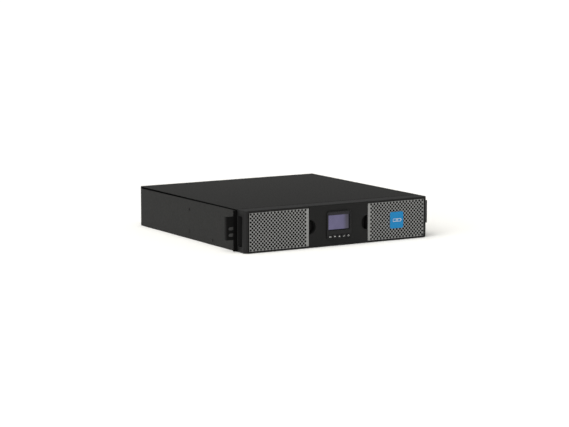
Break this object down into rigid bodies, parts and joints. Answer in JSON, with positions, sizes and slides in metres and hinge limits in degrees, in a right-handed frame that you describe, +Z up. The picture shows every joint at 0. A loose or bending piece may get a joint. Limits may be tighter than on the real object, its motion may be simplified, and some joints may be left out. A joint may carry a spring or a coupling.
{
  "type": "uninterruptible power supply",
  "caption": "Two-unit rack or tower power backup with perforated front covers, a turning display, a battery drawer, rear outlets and fans.",
  "frame": {"origin": "on the underside, at the middle of the unit's box in X and Y", "axes": "+X to the right seen from the front, front faces -Y, +Z up"},
  "size_m": [0.488, 0.4692, 0.0865],
  "materials": {
    "ear_black": "smooth black paint",
    "bezel_black": "plain black moulding",
    "shell_paint": "fine-textured black powder coat",
    "inner_paint": "smooth black paint",
    "inner_steel": "zinc-plated sheet",
    "cover_plastic": "finely textured black moulding",
    "display_plastic": "satin black moulding",
    "grille_paint": "silver-grey paint on perforated sheet",
    "badge_blue": "gloss blue",
    "window_clear": "clear hard-coated sheet",
    "lcd": "unlit lilac liquid crystal",
    "key_plastic": "satin black keys with white marks",
    "screw_black": "black oxide",
    "connector_black": "black moulding",
    "guard_wire": "bright plated wire",
    "port_steel": "plated steel",
    "terminal_green": "green moulding",
    "button_white": "white moulding",
    "connector_grey": "grey moulding",
    "battery_case": "dark grey moulding",
    "tab_metal": "tinned metal",
    "wire_sleeve": "red insulation",
    "board_green": "green laminate",
    "sink_aluminium": "extruded",
    "device_black": "epoxy and ferrite",
    "capacitor_sleeve": "dark blue sleeve",
    "winding_copper": "enamelled copper",
    "retainer_plastic": "natural moulding"
  },
  "bodies": {
    "chassis": {"ear_left": "ear_black", "ear_right": "ear_black", "bezel_frame": "bezel_black", "base_tray": "shell_paint", "top_cover": "shell_paint", "rear_panel": "shell_paint", "slot_cover": "shell_paint", "front_bulkhead": "inner_paint", "partition_wall": "inner_steel", "battery_stop": "inner_steel", "case_screws": "screw_black", "fan_screws": "screw_black", "slot_screws": "screw_black", "outlets": "connector_black", "power_inlet": "connector_black", "breaker": "connector_black", "external_battery_port": "connector_black", "fan_frames": "connector_black", "fan_guards": "guard_wire", "usb_port": "port_steel", "serial_port": "port_steel", "ground_stud": "port_steel", "remote_terminal": "terminal_green", "battery_socket": "connector_grey", "board_standoffs": "tab_metal", "battery_feed_leads": "wire_sleeve", "power_board": "board_green", "control_board": "board_green", "heat_sinks": "sink_aluminium", "emi_filter": "sink_aluminium", "power_transistors": "device_black", "transformer_core": "device_black", "bulk_capacitors": "capacitor_sleeve", "inductors": "winding_copper", "transformer_winding": "winding_copper"},
    "left_cover": {"left_panel": "cover_plastic", "left_grille": "grille_paint"},
    "right_cover": {"right_panel": "cover_plastic", "right_grille": "grille_paint", "badge": "badge_blue"},
    "middle_cover": {"centre_cover": "cover_plastic"},
    "display": {"display_housing": "display_plastic", "display_window": "window_clear", "lcd_panel": "lcd", "display_retainer": "retainer_plastic", "display_board": "board_green"},
    "key_escape": {"button_escape": "key_plastic"},
    "key_down": {"button_down": "key_plastic"},
    "key_up": {"button_up": "key_plastic"},
    "key_enter": {"button_enter": "key_plastic"},
    "key_power": {"button_power": "key_plastic"},
    "battery": {"battery_tray": "inner_paint", "pull_handle": "connector_black", "battery_blocks": "battery_case", "battery_terminals": "tab_metal", "battery_wiring": "wire_sleeve", "battery_plug": "connector_grey"},
    "fan_1": {"fan_rotor_1": "connector_black"},
    "fan_2": {"fan_rotor_2": "connector_black"},
    "breaker_reset": {"breaker_button": "button_white"}
  },
  "joints": [
    {"name": "battery_slide", "type": "slide", "parent": "chassis", "child": "battery", "axis": [0, -1, 0], "range_m": [0, 0.34]},
    {"name": "left_cover_pull", "type": "slide", "parent": "chassis", "child": "left_cover", "axis": [0, -1, 0], "range_m": [0, 0.402]},
    {"name": "right_cover_pull", "type": "slide", "parent": "chassis", "child": "right_cover", "axis": [0, -1, 0], "range_m": [0, 0.15]},
    {"name": "middle_cover_pull", "type": "slide", "parent": "chassis", "child": "middle_cover", "axis": [0, -1, 0], "range_m": [0, 0.12]},
    {"name": "display_turn", "type": "hinge", "parent": "middle_cover", "child": "display", "pos_m": [0, -0.2335, 0.043], "axis": [0, -1, 0], "range_deg": [0, 90]},
    {"name": "fan_1_spin", "type": "hinge", "parent": "chassis", "child": "fan_1", "pos_m": [0.09, 0.212, 0.043], "axis": [0, 1, 0], "continuous": true},
    {"name": "fan_2_spin", "type": "hinge", "parent": "chassis", "child": "fan_2", "pos_m": [0.173, 0.212, 0.043], "axis": [0, 1, 0], "continuous": true},
    {"name": "breaker_press", "type": "slide", "parent": "chassis", "child": "breaker_reset", "axis": [0, -1, 0], "range_m": [0, 0.002], "stiffness_N_per_m": 300},
    {"name": "press_escape", "type": "slide", "parent": "display", "child": "key_escape", "axis": [0, 1, 0], "range_m": [0, 0.0005], "stiffness_N_per_m": 400},
    {"name": "press_down", "type": "slide", "parent": "display", "child": "key_down", "axis": [0, 1, 0], "range_m": [0, 0.0005], "stiffness_N_per_m": 400},
    {"name": "press_up", "type": "slide", "parent": "display", "child": "key_up", "axis": [0, 1, 0], "range_m": [0, 0.0005], "stiffness_N_per_m": 400},
    {"name": "press_enter", "type": "slide", "parent": "display", "child": "key_enter", "axis": [0, 1, 0], "range_m": [0, 0.0005], "stiffness_N_per_m": 400},
    {"name": "press_power", "type": "slide", "parent": "display", "child": "key_power", "axis": [0, 1, 0], "range_m": [0, 0.0005], "stiffness_N_per_m": 400}
  ],
  "couplings": [
    {"joint": "left_cover_pull", "follows": "battery_slide", "ratio": 1.18}
  ]
}
